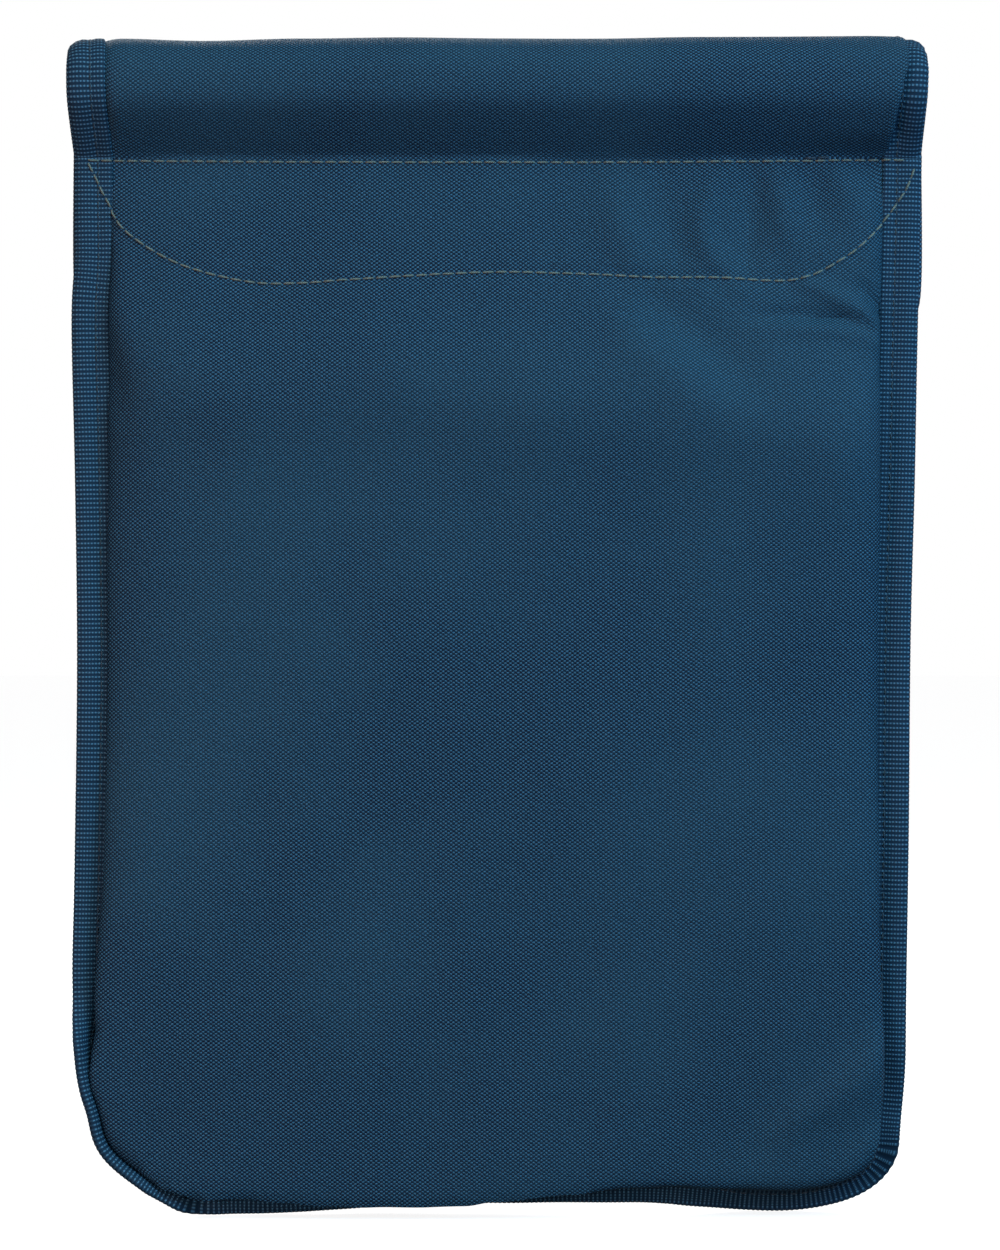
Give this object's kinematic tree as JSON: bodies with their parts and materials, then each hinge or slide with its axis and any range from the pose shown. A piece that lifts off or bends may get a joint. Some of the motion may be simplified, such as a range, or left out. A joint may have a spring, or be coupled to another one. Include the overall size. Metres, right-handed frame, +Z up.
{
  "type": "cash deposit bag",
  "caption": "Flat cloth deposit bag with bound edges, a soft fold at the top and a fold-over flap held by a turn staple and hook-and-loop patches.",
  "frame": {"origin": "middle of the underside of the bottom binding, in the plane of the side seams", "axes": "+Z up the bag to the fold, +X across it, +Y from the back panel to the flap; the bag stands upright"},
  "size_m": [0.2794, 0.0408, 0.3835],
  "materials": {
    "nylon_cloth": "coarse basket weave, dull sheen",
    "facing_cloth": "coarse basket weave, matte",
    "binding_tape": "ribbed tape, dull sheen",
    "contrast_thread": "twisted thread, matte",
    "tone_thread": "twisted thread, matte",
    "hook_and_loop": "napped, matte",
    "plated_steel": "satin plated"
  },
  "bodies": {
    "pouch": {"back_panel": "nylon_cloth", "front_panel": "nylon_cloth", "yoke_facing": "facing_cloth", "edge_binding": "binding_tape", "fold_binding": "binding_tape", "mouth_binding": "binding_tape", "yoke_thread": "contrast_thread", "binding_thread": "tone_thread", "mouth_thread": "tone_thread", "loop_patches": "hook_and_loop", "loop_thread": "tone_thread", "staple_base": "plated_steel", "staple_backing": "plated_steel", "staple_rivets": "plated_steel"},
    "flap": {"flap_panel": "nylon_cloth", "flap_facing": "facing_cloth", "flap_binding": "binding_tape", "flap_thread": "tone_thread", "hook_patches": "hook_and_loop", "hook_thread": "tone_thread", "eyelet_face": "plated_steel", "eyelet_back": "plated_steel", "eyelet_rivets": "plated_steel"},
    "turn_staple": {"turn_staple": "plated_steel"}
  },
  "joints": [
    {"name": "flap_fold", "type": "hinge", "parent": "pouch", "child": "flap", "pos_m": [0, 0.0026, 0.3835], "axis": [1, 0, 0], "range_deg": [0, 180]},
    {"name": "staple_turn", "type": "hinge", "parent": "pouch", "child": "turn_staple", "pos_m": [0, 0.0128, 0.288], "axis": [0, 1, 0], "range_deg": [0, 90]}
  ]
}
